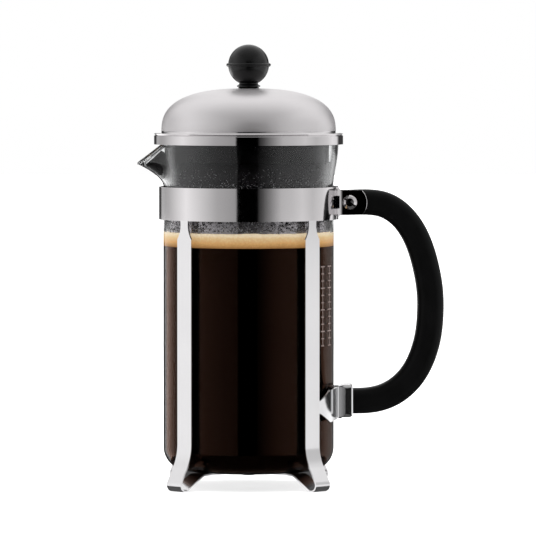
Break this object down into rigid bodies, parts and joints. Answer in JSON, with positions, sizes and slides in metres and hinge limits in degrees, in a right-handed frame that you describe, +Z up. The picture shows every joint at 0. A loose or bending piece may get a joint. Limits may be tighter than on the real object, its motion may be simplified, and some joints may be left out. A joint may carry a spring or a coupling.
{
  "type": "french press",
  "caption": "Plunger coffee press: glass beaker with spout in a steel leg frame with clamp band and D-shaped handle, domed steel lid with sliding filter plunger and ball knob.",
  "frame": {"origin": "centre of the bounding box at table height, under the beaker and the handle taken together", "axes": "+Z up along the beaker axis, +X towards the handle, -X towards the spout, +Y to the rear"},
  "size_m": [0.1718, 0.1058, 0.2473],
  "materials": {
    "band_steel": "bright polished stainless steel",
    "leg_steel": "satin polished stainless steel",
    "lid_steel": "soft satin stainless steel",
    "filter_steel": "plain stainless steel",
    "handle_plastic": "black satin polypropylene",
    "liner_plastic": "dark smooth plastic",
    "glass": "clear borosilicate",
    "brass": "turned brass",
    "coffee": "near black brewed coffee",
    "crema": "pale tan coffee foam",
    "scale_ink": "pale level marks fired on the glass"
  },
  "bodies": {
    "frame": {"clamp_band": "band_steel", "leg_strap_upper": "leg_steel", "leg_strap_lower": "leg_steel", "cross_rivet": "leg_steel", "bracket_wing_front": "leg_steel", "bracket_wing_rear": "leg_steel", "handle_ferrule": "band_steel", "handle": "handle_plastic", "handle_bush": "filter_steel", "clamp_bolt": "band_steel"},
    "washer": {"clamp_washer": "band_steel"},
    "nut": {"clamp_nut": "band_steel"},
    "beaker": {"beaker": "glass"},
    "guide": {"rod_guide": "filter_steel"},
    "lid": {"lid_dome": "lid_steel", "lid_liner": "liner_plastic", "splash_collar": "liner_plastic"},
    "plunger": {"plunger_rod": "filter_steel", "knob": "handle_plastic", "knob_insert": "brass", "rod_collar": "filter_steel", "spiral_plate": "filter_steel", "edge_spring": "filter_steel", "mesh_screen": "filter_steel", "cross_plate": "filter_steel", "cross_hub": "filter_steel"}
  },
  "joints": [
    {"name": "beaker_lift", "type": "slide", "parent": "frame", "child": "beaker", "axis": [0, 0, 1], "range_m": [0, 0.19]},
    {"name": "lid_lift", "type": "slide", "parent": "beaker", "child": "guide", "axis": [0, 0, 1], "range_m": [0, 0.18]},
    {"name": "lid_turn", "type": "hinge", "parent": "guide", "child": "lid", "pos_m": [-0.02333, 0, 0.2], "axis": [0, 0, 1], "continuous": true},
    {"name": "plunger_pull", "type": "slide", "parent": "guide", "child": "plunger", "axis": [0, 0, 1], "range_m": [0, 0.13]},
    {"name": "clamp_washer_slide", "type": "slide", "parent": "frame", "child": "washer", "axis": [0, 1, 0], "range_m": [0, 0.0021]},
    {"name": "clamp_nut_turn", "type": "hinge", "parent": "washer", "child": "nut", "pos_m": [0.03317, 0.011, 0.1593], "axis": [0, 1, 0], "range_deg": [0, 1081]}
  ],
  "couplings": [
    {"joint": "clamp_nut_turn", "follows": "clamp_washer_slide", "rad_per_m": 8976}
  ]
}
